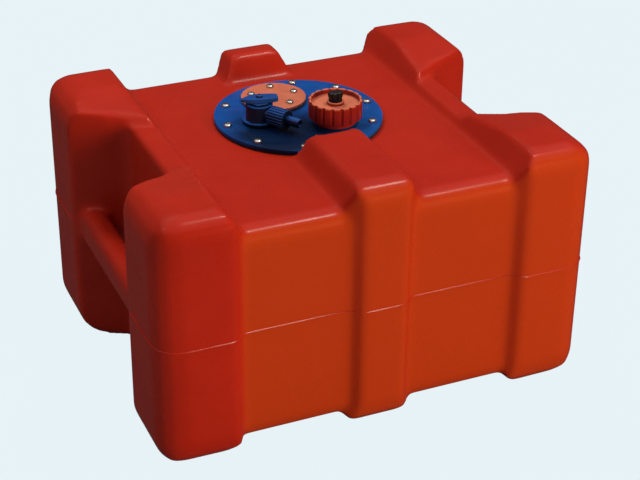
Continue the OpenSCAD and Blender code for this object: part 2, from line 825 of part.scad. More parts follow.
module hose_tail() {
    color("#c2a35a") along_union() difference() {
        union() {
            translate([0, 0, tail_flange_start]) cylinder(h = tail_flange_t, r = spigot_r);
            translate([0, 0, tail_flange_start]) cylinder(h = tail_start - tail_flange_start, r = tail_neck_r);
            translate([0, 0, tail_start]) cylinder(h = tail_l - lift - tail_chamfer, r = tail_r);
            translate([0, 0, tail_end - tail_chamfer]) {
                cylinder(h = tail_chamfer, r1 = tail_r, r2 = tail_r - tail_chamfer);
            }
        }
        translate([0, 0, tail_flange_start - through]) cylinder(h = tail_end, r = fuel_way_r);
    }
}

module pickup_tube() {
    color("#d8d4c8") at_tap(tube_end) pipe(tube_r, tube_r - tube_wall, tube_top - tube_end);
}

module pickup_strainer() {
    color("#e0ddd2") at_tap(strainer_z) difference() {
        cylinder(h = strainer_h, r = strainer_r);
        translate([0, 0, strainer_wall]) {
            cylinder(h = strainer_h - 2 * strainer_wall - tube_r, r = strainer_r - strainer_wall);
        }
        translate([0, 0, tube_lift]) cylinder(h = strainer_h, r = tube_r + snug);
        for (i = [0 : strainer_windows - 1]) {
            rotate(i * 360 / strainer_windows) translate([0, -window_w / 2, window_sill]) {
                cube([strainer_r + through, window_w, window_h]);
            }
        }
    }
}

tank_shell();
cover_inserts();
cover_gasket();
cover_plate();
cover_screws();
sender_inserts();
sender_gasket();
sender_blank();
sender_screws();
cap_seal();
filler_cap();
vent_seal();
vent_knob();
tap_seal();
tap_body();
tap_nut();
tap_plug();
plug_seal();
gland_nut();
tap_lever();
lever_screw();
union_nut();
hose_tail();
pickup_tube();
pickup_strainer();
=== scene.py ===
# %% [markdown]
# # Inboard fuel tank
# A red tank, rotationally moulded in one piece, with a bolted blue cover on top. The cover carries
# a filler cap with a vent screw, a blanked sender port and a fuel tap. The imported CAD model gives
# the main sizes, the axes and the hidden working pieces. This lesson models the pieces that show
# once more, with soft edges and closer to the photograph, and gives all of them their finishes.

# %% Load the frame
import math

import bpy
from mathutils import Matrix, Vector


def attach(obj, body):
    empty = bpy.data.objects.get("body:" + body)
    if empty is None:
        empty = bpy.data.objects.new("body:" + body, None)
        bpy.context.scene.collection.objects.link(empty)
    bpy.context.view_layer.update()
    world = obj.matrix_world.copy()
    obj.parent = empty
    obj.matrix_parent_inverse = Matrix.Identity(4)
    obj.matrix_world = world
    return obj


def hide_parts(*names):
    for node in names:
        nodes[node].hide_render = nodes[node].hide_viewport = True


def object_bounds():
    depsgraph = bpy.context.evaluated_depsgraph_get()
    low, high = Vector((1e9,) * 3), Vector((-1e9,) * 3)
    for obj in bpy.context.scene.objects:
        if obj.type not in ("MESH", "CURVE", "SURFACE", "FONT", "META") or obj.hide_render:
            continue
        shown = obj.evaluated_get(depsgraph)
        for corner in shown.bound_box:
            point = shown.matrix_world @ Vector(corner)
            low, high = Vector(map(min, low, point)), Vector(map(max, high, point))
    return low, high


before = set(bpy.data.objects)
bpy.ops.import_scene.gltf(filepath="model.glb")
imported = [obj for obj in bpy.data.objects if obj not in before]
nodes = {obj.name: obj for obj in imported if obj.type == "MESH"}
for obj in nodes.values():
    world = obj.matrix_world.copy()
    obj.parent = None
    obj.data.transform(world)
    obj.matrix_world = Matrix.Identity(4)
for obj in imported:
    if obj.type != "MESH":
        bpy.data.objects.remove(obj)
cad_low, cad_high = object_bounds()
MM = 0.001
print("CAD nodes:", len(nodes), "box in mm:", [round(v / MM, 1) for v in cad_high - cad_low])

# %% [markdown]
# ## Camera
# The photograph looks down on the tank from the front left with a long lens. The turn, the height
# and the lens were found by lining up the outline of the tank and the screws of its cover. The lens
# in millimetres follows from its length in pixels, because the sensor is 36 mm wide and the picture
# 640 pixels. The picture was cut out a little off its middle, which the small lens shift repeats.

# %% Camera
AZIMUTH, ELEVATION, ROLL = math.radians(-23.375), math.radians(29.114), math.radians(0.47)
LENS_PX, PICTURE_PX, SENSOR_MM = 1621.0, 640, 36
DISTANCE, TARGET = 1936, Vector((0, 0, 140))
PICTURE_MIDDLE, LENS_MIDDLE = (320, 240), (308.5, 233.5)

back = Vector((math.sin(AZIMUTH) * math.cos(ELEVATION), -math.cos(AZIMUTH) * math.cos(ELEVATION),
               math.sin(ELEVATION)))
level = Vector((math.cos(AZIMUTH), math.sin(AZIMUTH), 0))
upright = back.cross(level)
right = math.cos(ROLL) * level + math.sin(ROLL) * upright
up = math.cos(ROLL) * upright - math.sin(ROLL) * level
bpy.ops.object.camera_add()
camera = bpy.context.object
camera.matrix_world = (Matrix.Translation((TARGET + back * DISTANCE) * MM)
                       @ Matrix((right, up, back)).transposed().to_4x4())
camera.data.sensor_width = SENSOR_MM
camera.data.lens = LENS_PX * SENSOR_MM / PICTURE_PX
camera.data.shift_x = (PICTURE_MIDDLE[0] - LENS_MIDDLE[0]) / PICTURE_PX
camera.data.shift_y = (LENS_MIDDLE[1] - PICTURE_MIDDLE[1]) / PICTURE_PX
camera.data.clip_end = 50
bpy.context.scene.camera = camera
bpy.context.scene.view_settings.view_transform = "Standard"
print("camera at", [round(v, 3) for v in camera.location], "lens", round(camera.data.lens, 1))

# %% [markdown]
# ## Nodes and colours
# Colours are written as a painter would read them off the object, in sRGB hex. Blender's shaders
# work in linear light, so one function converts them. One other function adds a shader node with
# its settings and its links, and every material below is built with it.


# %% Node helpers
def linear(hex_colour):
    """The linear RGBA of an sRGB hex colour."""
    parts = [int(hex_colour[i:i + 2], 16) / 255 for i in (1, 3, 5)]
    parts = [p / 12.92 if p <= 0.04045 else ((p + 0.055) / 1.055) ** 2.4 for p in parts]
    return (*parts, 1.0)


def add_node(tree, kind, inputs=None, **settings):
    """Adds a node. An input is a value, or an output of another node, which is then linked."""
    node = tree.nodes.new(kind)
    for key, value in settings.items():
        setattr(node, key, value)
    for key, value in (inputs or {}).items():
        if isinstance(value, bpy.types.NodeSocket):
            tree.links.new(value, node.inputs[key])
        else:
            node.inputs[key].default_value = value
    return node


def new_material(name):
    """An empty material and its shader, ready for links."""
    material = bpy.data.materials.new(name)
    material.use_nodes = True
    return material, material.node_tree, material.node_tree.nodes["Principled BSDF"]


TANK_RED = "#B02817"
print("tank red in linear light:", [round(v, 3) for v in linear(TANK_RED)])

# %% [markdown]
# ## Studio
# The photograph is a cut-out on a pale blue-white ground. The floor is one plain plane. Seen by the
# camera, or through something clear, it glows in that colour by itself, so the ground stays even,
# and the rest of its light is real, so it keeps the shadow under the tank. In a mirror it glows
# too, but dimly, because a white floor would lay a milky veil over the red. The world does the same
# for what lies past the floor. Its mirror image is a pale ceiling over a dim room, which gives the
# screws their bright domes and leaves the flat red faces deep.

# %% Floor and world
GROUND, FLOOR_GREY, ROOM_LIGHT = "#E9F4F8", "#8E979B", "#F4EFEA"
FLOOR_SIZE, FLOOR_GLOW, MIRROR_GLOW = 14, 0.98, 0.05
FILL, MIRROR_FILL = 0.2, 0.08
CEILING_STARTS, CEILING_FULL = 0.58, 0.8


def seen_rays(tree):
    """The rays that see the ground, also through something clear, and the mirrored ones."""
    rays = add_node(tree, "ShaderNodeLightPath").outputs
    seen = add_node(tree, "ShaderNodeMath",
                    {0: rays["Is Camera Ray"], 1: rays["Is Transmission Ray"]},
                    operation="MAXIMUM")
    return seen.outputs[0], rays["Is Glossy Ray"]


bpy.ops.object.select_all(action="DESELECT")
bpy.ops.mesh.primitive_plane_add(size=FLOOR_SIZE, location=(0, 0, 0))
floor = bpy.context.object
floor.name = "studio_floor"
ground, tree, shader = new_material("studio_ground_paper")
shader.inputs["Base Color"].default_value = linear(FLOOR_GREY)
shader.inputs["Roughness"].default_value = 0.9
shader.inputs["Specular IOR Level"].default_value = 0.1
seen, mirrored = seen_rays(tree)
share = add_node(tree, "ShaderNodeMath", {0: seen, 1: FLOOR_GLOW, 2: mirrored},
                 operation="MULTIPLY_ADD")
brightness = add_node(tree, "ShaderNodeMapRange",
                      {"Value": mirrored, "To Min": 1.0, "To Max": MIRROR_GLOW})
glow = add_node(tree, "ShaderNodeEmission",
                {"Color": linear(GROUND), "Strength": brightness.outputs[0]})
mixed = add_node(tree, "ShaderNodeMixShader",
                 {0: share.outputs[0], 1: shader.outputs[0], 2: glow.outputs[0]})
tree.links.new(mixed.outputs[0], tree.nodes["Material Output"].inputs["Surface"])
floor.data.materials.append(ground)

world = bpy.data.worlds.new("studio_world")
bpy.context.scene.world = world
world.use_nodes = True
tree = world.node_tree
seen, mirrored = seen_rays(tree)
direction = add_node(tree, "ShaderNodeTexCoord").outputs["Generated"]
height = add_node(tree, "ShaderNodeSeparateXYZ", {0: direction})
ceiling = add_node(tree, "ShaderNodeMapRange",
                   {"Value": height.outputs["Z"], "From Min": CEILING_STARTS,
                    "From Max": CEILING_FULL, "To Min": MIRROR_FILL, "To Max": 1.0})
brightness = add_node(tree, "ShaderNodeMapRange",
                      {"Value": mirrored, "To Min": FILL, "To Max": ceiling.outputs[0]})
fill = add_node(tree, "ShaderNodeBackground",
                {"Color": linear(ROOM_LIGHT), "Strength": brightness.outputs[0]})
paper = add_node(tree, "ShaderNodeBackground", {"Color": linear(GROUND), "Strength": 1.0})
mixed = add_node(tree, "ShaderNodeMixShader", {0: seen, 1: fill.outputs[0], 2: paper.outputs[0]})
tree.links.new(mixed.outputs[0], tree.nodes["World Output"].inputs["Surface"])
print("floor", [round(v, 1) for v in floor.dimensions[:2]], "world fill", FILL)

# %% [markdown]
# The fittings throw their shadows towards the camera, so the main lamp stands high behind the tank.
# A small one overhead draws the thin bright lines on the front edges, a warm one at the right of
# the camera lifts the front, and a weak one high at the left opens the slopes that face that way.


# %% Lamps
def studio_lamp(name, place, aim, size, watts, colour, mirrored=False):
    """An area lamp in metres, turned towards a point. Only a mirrored one shows in reflections."""
    bpy.ops.object.light_add(type="AREA", location=place)
    lamp = bpy.context.object
    lamp.name = name
    lamp.data.size = size
    lamp.data.energy = watts
    lamp.data.color = linear(colour)[:3]
    lamp.rotation_euler = (Vector(aim) - Vector(place)).to_track_quat("-Z", "Y").to_euler()
    lamp.visible_glossy = mirrored


MIDDLE = (0, 0, 0.15)
studio_lamp("high_back_lamp", (-0.2, 1.3, 2.1), MIDDLE, size=0.6, watts=22, colour="#FFFFFF")
studio_lamp("overhead_lamp", (0.85, -0.4, 2.5), MIDDLE, size=0.4, watts=21, colour="#FFF3E6",
            mirrored=True)
studio_lamp("warm_front_lamp", (1.1, -2.6, 0.8), MIDDLE, size=1.0, watts=62, colour="#FFD9A8")
studio_lamp("left_lamp", (-1.6, 0.2, 2.0), MIDDLE, size=0.8, watts=12, colour="#FFFFFF")

# %% [markdown]
# ## Modelling by hand
# A few small helpers do what a modeller does at the screen: pick one piece, start from a primitive
# at its size and place, take hold of corners by where they lie, plane off an edge, and apply a
# modifier. All sizes are in millimetres.


# %% Modelling helpers
SAME, ON_PLANE = 0.01, 0.5


def pick(piece):
    """Selects one piece alone and makes it the active one."""
    bpy.ops.object.select_all(action="DESELECT")
    piece.select_set(True)
    bpy.context.view_layer.objects.active = piece


def settle(piece):
    """Moves a piece's place, turn and scale into its mesh."""
    pick(piece)
    bpy.ops.object.transform_apply(location=True, rotation=True, scale=True)


def start_block(name, low, high):
    """A block between two corners, with its place in its mesh."""
    low, high = Vector(low), Vector(high)
    bpy.ops.object.select_all(action="DESELECT")
    bpy.ops.mesh.primitive_cube_add(size=1, location=(low + high) / 2 * MM,
                                    scale=(high - low) * MM)
    piece = bpy.context.object
    piece.name = name
    settle(piece)
    return piece


def grab(piece, test=lambda place: True):
    """Opens a piece for editing, with all corners selected or those whose place passes a test."""
    pick(piece)
    bpy.ops.object.mode_set(mode="EDIT")
    bpy.ops.mesh.select_mode(type="VERT")
    bpy.ops.mesh.select_all(action="DESELECT")
    bpy.ops.object.mode_set(mode="OBJECT")
    for corner in piece.data.vertices:
        corner.select = test(corner.co / MM)
    bpy.ops.object.mode_set(mode="EDIT")


def let_go():
    """Closes the piece that grab opened."""
    bpy.ops.mesh.select_all(action="DESELECT")
    bpy.ops.object.mode_set(mode="OBJECT")


def shift(piece, test, move):
    """Moves the corners that pass a test."""
    grab(piece, test)
    bpy.ops.transform.translate(value=Vector(move) * MM)
    let_go()


def stretch(piece, test, factors, centre):
    """Scales the corners that pass a test about a point."""
    grab(piece, test)
    bpy.ops.transform.resize(value=factors, center_override=Vector(centre) * MM)
    let_go()


def tidy_mesh(piece):
    """Merges doubled corners and turns all faces outwards."""
    grab(piece)
    bpy.ops.mesh.remove_doubles(threshold=SAME * MM)
    bpy.ops.mesh.normals_make_consistent(inside=False)
    let_go()


def apply_modifier(piece, kind, **settings):
    """Adds a modifier and applies it at once."""
    pick(piece)
    modifier = piece.modifiers.new(kind.lower(), kind)
    for key, value in settings.items():
        setattr(modifier, key, value)
    bpy.ops.object.modifier_apply(modifier=modifier.name)


def round_edges(piece, rules, segments=6):
    """Rounds the edges whose two ends pass a test on their place, each with its own radius."""
    largest = max(radius for radius, test in rules)
    weights = piece.data.attributes.new("bevel_weight_edge", "FLOAT", "EDGE")
    for edge in piece.data.edges:
        ends = [piece.data.vertices[i].co / MM for i in edge.vertices]
        for radius, test in rules:
            if all(test(p) for p in ends):
                weights.data[edge.index].value = radius / largest
    apply_modifier(piece, "BEVEL", width=largest * MM, segments=segments, limit_method="WEIGHT",
                   use_clamp_overlap=False)


def plane_off(piece, point, outward):
    """Cuts off what lies past a plane, and closes the cut."""
    grab(piece)
    bpy.ops.mesh.bisect(plane_co=Vector(point) * MM, plane_no=Vector(outward).normalized(),
                        use_fill=True, clear_outer=True)
    let_go()


def cut_away(piece, tool):
    """Takes a tool's shape out of a piece, and deletes the tool."""
    apply_modifier(piece, "BOOLEAN", operation="DIFFERENCE", object=tool, solver="EXACT")
    bpy.data.objects.remove(tool)


def join(pieces, name):
    """Joins pieces into the first one."""
    bpy.ops.object.select_all(action="DESELECT")
    for piece in pieces:
        piece.select_set(True)
    bpy.context.view_layer.objects.active = pieces[0]
    bpy.ops.object.join()
    pieces[0].name = name
    return pieces[0]


def smooth_shade(piece, degrees=35):
    """Smooth shading that keeps edges sharper than an angle crisp."""
    pick(piece)
    bpy.ops.object.shade_smooth_by_angle(angle=math.radians(degrees))


def near(value, target):
    """True where a coordinate lies on a given plane."""
    return abs(value - target) < ON_PLANE


def triangles(piece):
    """How many triangles a piece has."""
    return sum(len(p.vertices) - 2 for p in piece.data.polygons)


print("helpers ready")

# %% [markdown]
# A turned piece, such as a cap or a screw, is drawn as half its outline. A circle of corners starts
# at the first point of that outline and is extruded from point to point, which is what the spin
# tool does, but the rings stay easy to find again by their radius and height.


# %% Turning helper
def turned(name, axis, outline, sides=48):
    """Extrudes a ring of corners along points of radius and height, and closes its ends."""
    bpy.ops.object.select_all(action="DESELECT")
    radius, height = outline[0]
    bpy.ops.mesh.primitive_circle_add(vertices=sides, radius=radius * MM,
                                      location=(axis[0] * MM, axis[1] * MM, height * MM))
    piece = bpy.context.object
    piece.name = name
    settle(piece)
    grab(piece)
    for next_radius, next_height in outline[1:]:
        bpy.ops.mesh.extrude_region_move(
            TRANSFORM_OT_translate={"value": (0, 0, (next_height - height) * MM)})
        grow = next_radius / radius
        bpy.ops.transform.resize(value=(grow, grow, 1),
                                 center_override=(axis[0] * MM, axis[1] * MM, next_height * MM))
        radius, height = next_radius, next_height
    bpy.ops.mesh.select_all(action="SELECT")
    bpy.ops.mesh.remove_doubles(threshold=SAME * MM)
    bpy.ops.mesh.fill_holes(sides=0)
    bpy.ops.mesh.normals_make_consistent(inside=False)
    let_go()
    return piece


print("turning helper ready")

# %% [markdown]
# ## Places from the frame
# The axes and the heights where pieces meet are read from the CAD nodes, so that the two models
# agree. They could be typed in, but then a change to the CAD model would leave them behind. The CAD
# box includes the ridge of the shell's parting line, so the ridge is taken off for the size of the
# blocks.


# %% Places from the frame
def cad_axis(node):
    """The middle of a CAD node in plan, in millimetres to a tenth."""
    columns = list(zip(*nodes[node].bound_box))[:2]
    return tuple(round((min(column) + max(column)) / 2 / MM, 1) for column in columns)


def cad_heights(node):
    """The lowest and the highest point of a CAD node, in millimetres to a tenth."""
    heights = [corner[2] / MM for corner in nodes[node].bound_box]
    return round(min(heights), 1), round(max(heights), 1)


CAD_RIDGE = 1.2
LENGTH_X, WIDTH_Y = (round(half / MM - CAD_RIDGE, 1) for half in cad_high.xy)
CREST_Z = cad_heights("tank_shell")[1]
TOP_Z = cad_heights("cover_gasket")[0]
COVER_TOP = cad_heights("sender_gasket")[0]
BLANK_TOP = cad_heights("sender_blank")[1]
TAP_FOOT_Z = cad_heights("tap_seal")[1]
LEVER_LOW, LEVER_HIGH = cad_heights("tap_lever")
COVER, BLANK = cad_axis("cover_plate"), cad_axis("sender_blank")
FILLER, TAP = cad_axis("filler_cap"), cad_axis("gland_nut")
print("half size and crest:", LENGTH_X, WIDTH_Y, CREST_Z, "top panel:", TOP_Z)
print("axes of cover, blank, filler and tap:", COVER, BLANK, FILLER, TAP)

# %% [markdown]
# ## Tank shell: the blocks
# The tank is one hollow moulding, and its edges are as soft as a cake of soap. Modelling it as one
# cage would mean fighting for every fillet. It is easier to build it like a pattern maker: rounded
# blocks for the body, the centre rib, the end ribs and the grip bars, which are then melted into
# one skin.

# %% Tank body and centre rib
BODY_X, PANEL_Y, BASE_Z = 190, 200, 15
PANEL_TOP_ROUND, PANEL_FOOT_ROUND, CREST_ROUND, FOOT_ROUND = 16, 18, 22, 34
HUMP_X, HUMP_CREST_X, HUMP_FOOT_X = 46, 30, 44
HUMP_BASE_X, HUMP_FRONT_X, HUMP_LEAN = 27, 25, 11.5

body = start_block("tank_body", (-BODY_X, -PANEL_Y, BASE_Z), (BODY_X, PANEL_Y, TOP_Z))
round_edges(body, [(PANEL_TOP_ROUND, lambda p: near(p.z, TOP_Z) and near(abs(p.y), PANEL_Y)),
                   (PANEL_FOOT_ROUND, lambda p: near(p.z, BASE_Z) and near(abs(p.y), PANEL_Y))],
            segments=2)

centre = start_block("centre_rib", (-HUMP_X, -WIDTH_Y, 0), (HUMP_X, WIDTH_Y, CREST_Z))
round_edges(centre, [(CREST_ROUND, lambda p: near(p.z, CREST_Z) and near(abs(p.y), WIDTH_Y)),
                     (FOOT_ROUND, lambda p: near(p.z, 0) and near(abs(p.y), WIDTH_Y))],
            segments=3)
for side in (-1, 1):
    plane_off(centre, (side * HUMP_CREST_X, 0, CREST_Z),
              (side * (CREST_Z - TOP_Z), 0, HUMP_FOOT_X - HUMP_CREST_X))
    plane_off(centre, (side * HUMP_BASE_X, 0, 0),
              (side * BASE_Z, 0, HUMP_BASE_X - HUMP_FOOT_X))
    for end in (-1, 1):
        plane_off(centre, (side * HUMP_FRONT_X, end * WIDTH_Y, 0),
                  (side * (WIDTH_Y - PANEL_Y), end * HUMP_LEAN, 0))
print("body", triangles(body), "centre rib", triangles(centre), "triangles")

# %% [markdown]
# The centre rib breaks off on the top panel. In front it ends in a hollow that follows the round
# cover, so the tool for that end is a cone round the cover's axis. At the back it ends in a flat
# slope.

# %% Break in the centre rib
ROOM_R, ROOM_FLARE = 100.5, 13
GAP_X, BACK_Y, BACK_LEAN = 80, 146, 18
TOOL_FOOT, TOOL_TOP, TOOL_SIDES = 262, 400, 96

room = turned("cover_room", COVER,
              [(ROOM_R, TOOL_FOOT), (ROOM_R, TOP_Z), (ROOM_R + ROOM_FLARE, TOOL_TOP)],
              TOOL_SIDES)
cut_away(centre, room)
gap = start_block("back_gap", (-GAP_X, 0, TOOL_FOOT), (GAP_X, BACK_Y, TOOL_TOP))
shift(gap, lambda place: near(place.z, TOOL_TOP) and near(place.y, BACK_Y),
      (0, BACK_LEAN / (CREST_Z - TOP_Z) * (TOOL_TOP - TOP_Z), 0))
cut_away(centre, gap)
print("centre rib after the break:", triangles(centre), "triangles")

# %% [markdown]
# An end rib is a tall block with a hand recess cut into its outer face. Behind the recess its top
# drops to a low waist, so that a post is left at each corner, whose top falls a little towards the
# recess. The inner edges lean back to the panels. The grip bar closes the recess half way up.


# %% End ribs and grip bars
RIB_X, CREST_X, END_TOP_ROUND, POST_ROUND, END_FOOT_ROUND = 160, 178, 20, 28, 30
RECESS_X, RECESS_OUT_X, RECESS_Y, RECESS_LOW = 194, 302, 72, -50
RECESS_FLARE, RECESS_ROUND = 54, 14
DIP_IN_X, DIP_OUT_X, DIP_Y, DIP_FLARE, DIP_LEAN, WAIST_Z = 146, 214, 46, 34, 60, 287
SLOPE_IN_X, SLOPE_OUT_X, SLOPE_IN_Y, SLOPE_OUT_Y = 100, 300, 40, 150
SLOPE_Z, SLOPE_DROP = CREST_Z + 0.5, 14
BAR_IN_X, BAR_OUT_X, BAR_Y, BAR_LOW, BAR_HIGH, BAR_ROUND = 221, 252, 122, 130, 176, 13


def end_rib(name):
    """The end rib on the +X side with its hand recess, and its grip bar."""
    rib = start_block(name, (RIB_X, -WIDTH_Y, 0), (LENGTH_X, WIDTH_Y, CREST_Z))
    round_edges(rib, [(CREST_ROUND, lambda p: near(p.z, CREST_Z) and near(abs(p.y), WIDTH_Y)),
                      (END_TOP_ROUND, lambda p: near(p.z, CREST_Z) and near(p.x, LENGTH_X)),
                      (POST_ROUND, lambda p: near(p.x, LENGTH_X) and near(abs(p.y), WIDTH_Y)),
                      (FOOT_ROUND, lambda p: near(p.z, 0) and near(abs(p.y), WIDTH_Y)),
                      (END_FOOT_ROUND, lambda p: near(p.z, 0) and near(p.x, LENGTH_X))],
                segments=3)
    plane_off(rib, (RIB_X, 0, TOP_Z), (TOP_Z - CREST_Z, 0, CREST_X - RIB_X))
    plane_off(rib, (RIB_X, 0, BASE_Z), (-1, 0, -1))
    for end in (-1, 1):
        plane_off(rib, (RIB_X, end * PANEL_Y, 0), (-1, end, 0))

    recess = start_block("hand_recess", (RECESS_X, -RECESS_Y, RECESS_LOW),
                         (RECESS_OUT_X, RECESS_Y, TOOL_TOP))
    dip = start_block("waist_dip", (DIP_IN_X, -DIP_Y, WAIST_Z), (DIP_OUT_X, DIP_Y, TOOL_TOP))
    for side in (-1, 1):
        shift(recess, lambda place: near(place.x, RECESS_OUT_X) and place.y * side > 0,
              (0, side * RECESS_FLARE, 0))
        shift(dip, lambda place: near(place.x, DIP_OUT_X) and place.y * side > 0,
              (0, side * DIP_FLARE, 0))
        shift(dip, lambda place: near(place.z, TOOL_TOP) and place.y * side > 0,
              (0, side * DIP_LEAN, 0))
    round_edges(recess, [(RECESS_ROUND, lambda p: near(p.x, RECESS_X))])
    cut_away(rib, recess)
    cut_away(rib, dip)

    for side in (-1, 1):
        near_y, far_y = sorted((side * SLOPE_IN_Y, side * SLOPE_OUT_Y))
        slope = start_block("post_slope", (SLOPE_IN_X, near_y, SLOPE_Z),
                            (SLOPE_OUT_X, far_y, TOOL_TOP))
        shift(slope, lambda place: near(place.z, SLOPE_Z) and near(abs(place.y), SLOPE_IN_Y),
              (0, 0, -SLOPE_DROP))
        cut_away(rib, slope)

    bar = start_block("grip_bar", (BAR_IN_X, -BAR_Y, BAR_LOW), (BAR_OUT_X, BAR_Y, BAR_HIGH))
    round_edges(bar, [(BAR_ROUND, lambda p: near(p.x, BAR_IN_X) or near(p.x, BAR_OUT_X))])
    return [rib, bar]


right_end = end_rib("right_end_rib")
left_end = end_rib("left_end_rib")
for piece in left_end:
    piece.scale.x = -1
    settle(piece)
    tidy_mesh(piece)
print("end ribs:", [p.name for p in right_end + left_end])

# %% [markdown]
# ## Tank shell: one skin
# A voxel remesh melts the blocks into one closed skin of even squares, and a smooth modifier then
# turns every meeting of two blocks into a soft fillet, as the mould does. The mould's two halves
# leave a thin ridge half way up: three cuts round the skin give it its rows of corners, and the
# middle row is pushed outwards.

# %% Melt and smooth
VOXEL, SOFTENING = 3.6, 8
PARTING_Z, BEAD_BELOW, BEAD_ABOVE = 156, 0.6, 2.4
BEAD_PROUD, BEAD_FROM_Y = 1.0, 115

tank = join([body, centre] + right_end + left_end, "tank_shell_skin")
apply_modifier(tank, "REMESH", mode="VOXEL", voxel_size=VOXEL * MM)
apply_modifier(tank, "SMOOTH", factor=0.5, iterations=SOFTENING)
for height in (PARTING_Z - BEAD_BELOW, PARTING_Z, PARTING_Z + BEAD_ABOVE):
    grab(tank)
    bpy.ops.mesh.bisect(plane_co=(0, 0, height * MM), plane_no=(0, 0, 1))
    let_go()
grab(tank, lambda place: abs(place.z - PARTING_Z) < SAME and abs(place.y) > BEAD_FROM_Y)
bpy.ops.transform.shrink_fatten(value=BEAD_PROUD * MM)
let_go()
print("skin:", triangles(tank), "triangles, box", [round(v / MM, 1) for v in tank.dimensions])

# %% [markdown]
# Last, the fuel room and the round service opening are cut out, so the tank is the hollow thing
# that it is. The wall stays thick under the cover, where the screws' brass inserts sit.

# %% Hollow the tank
FUEL_LOW, FUEL_HIGH, FUEL_ROUND = (-184, -192, 22), (184, 192, 259), 14
PORT_R, PORT_LOW, PORT_HIGH = 80, 240, 300

fuel_room = start_block("fuel_room", FUEL_LOW, FUEL_HIGH)
round_edges(fuel_room, [(FUEL_ROUND, lambda p: True)], segments=4)
cut_away(tank, fuel_room)
opening = turned("service_opening", COVER, [(PORT_R, PORT_LOW), (PORT_R, PORT_HIGH)], TOOL_SIDES)
cut_away(tank, opening)
smooth_shade(tank, degrees=40)
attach(tank, "tank")
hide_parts("tank_shell")
print("hollow tank:", triangles(tank), "triangles")

# %% [markdown]
# ## Softened pieces
# The cover, the blank and the tap's fixed pieces have nearly the right shape in the CAD model
# already, but no moulding has knife edges. Each one gets a copy of its CAD mesh. Its loose
# triangles are merged, flat triangles are dissolved into whole faces, and a narrow bevel rounds
# every sharp edge, so that it catches a line of light. The tap's barrel is stouter in the
# photograph, so it is widened about its axis.


# %% Soften the CAD shapes
FLAT_DEGREES, SHARP_DEGREES = 0.5, 35
TAP_STOUT = 1.16


def soften(node, body, width, segments=2):
    """A copy of a CAD node with its sharp edges rounded, in the node's place."""
    piece = bpy.data.objects.new(node + "_moulded", nodes[node].data.copy())
    bpy.context.scene.collection.objects.link(piece)
    grab(piece)
    bpy.ops.mesh.remove_doubles(threshold=SAME * MM)
    bpy.ops.mesh.dissolve_limited(angle_limit=math.radians(FLAT_DEGREES))
    let_go()
    apply_modifier(piece, "BEVEL", width=width * MM, segments=segments, limit_method="ANGLE",
                   angle_limit=math.radians(SHARP_DEGREES), loop_slide=False,
                   use_clamp_overlap=True)
    smooth_shade(piece)
    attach(piece, body)
    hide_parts(node)
    print(node, "softened:", triangles(piece), "triangles")
    return piece


cover = soften("cover_plate", "tank", width=0.7)
blank = soften("sender_blank", "tank", width=0.7)
tap_body = soften("tap_body", "tank", width=0.8)
stretch(tap_body, lambda place: place.z > TAP_FOOT_Z - SAME, (TAP_STOUT, TAP_STOUT, 1), (*TAP, 0))
gland = soften("gland_nut", "tank", width=0.5)
union = soften("union_nut", "tank", width=0.4)
hose_stub = soften("hose_tail", "tank", width=0.4)

# %% [markdown]
# ## Filler cap
# The cap is a deep lobed cap with a dished top, so that a wet hand can turn it. Its outline goes up
# the outside of the threaded skirt, round the grip ring, over the rim, down into the dish, up the
# small boss in the middle, and back through the boss and down the inside of the skirt. Then each
# tenth column of corners on the outside is drawn towards the axis, its two neighbours by half as
# much, which leaves 18 lobes.

# %% Filler cap
SKIRT = [(21.8, 285), (24.8, 285), (24.8, 302), (27.5, 302)]
GRIP_RING = [(27.5, 291), (30.6, 291), (31.2, 292), (31.2, 310.8), (30.4, 312), (28.8, 312)]
DISH = [(28, 311.2), (28, 306.6), (27.4, 306), (10.6, 306), (10, 306.6), (10, 309.4), (9.4, 310)]
INSIDE = [(3.1, 310), (3.1, 302), (21.8, 302), (21.8, 285)]
CAP_SIDES, LOBES, OUTSIDE_R, GROOVE_PULL = 180, 18, 28.5, 0.965


def in_groove(place, columns):
    """True for the outer columns of corners that lie in a groove between two lobes of the cap."""
    x, y = place.x - FILLER[0], place.y - FILLER[1]
    column = round(math.degrees(math.atan2(y, x)) / (360 / CAP_SIDES))
    return math.hypot(x, y) > OUTSIDE_R and column % (CAP_SIDES // LOBES) in columns


cap = turned("filler_cap_lobed", FILLER, SKIRT + GRIP_RING + DISH + INSIDE, CAP_SIDES)
for columns in ((0, 1, 9), (0,)):
    stretch(cap, lambda place: in_groove(place, columns), (GROOVE_PULL, GROOVE_PULL, 1),
            (*FILLER, 0))
smooth_shade(cap, degrees=32)
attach(cap, "cap")
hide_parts("filler_cap")
print("cap:", triangles(cap), "triangles")

# %% [markdown]
# ## Vent knob
# The black knob in the cap's middle lets air in while fuel is drawn. Its stem goes through the
# boss. Fingers hold it by eight flutes, and its head spreads to two small wings, so the rings of
# its head are stretched one way.

# %% Vent knob
KNOB_OUTLINE = [(3, 302.2), (3, 311.2), (6.6, 311.2), (7.4, 312), (7.6, 316), (8, 318.5),
                (7.6, 320), (6.6, 320.6), (3, 320.7)]
KNOB_SIDES, FLUTES, STEM_R, FLUTE_PULL = 48, 8, 6, 0.84
WINGS_Z, WINGS = 315, (1.18, 0.8, 1)


def in_flute(place):
    """True for the outer columns of corners in the middle of the knob's flutes."""
    x, y = place.x - FILLER[0], place.y - FILLER[1]
    column = round(math.degrees(math.atan2(y, x)) / (360 / KNOB_SIDES))
    return math.hypot(x, y) > STEM_R and column % (KNOB_SIDES // FLUTES) == 0


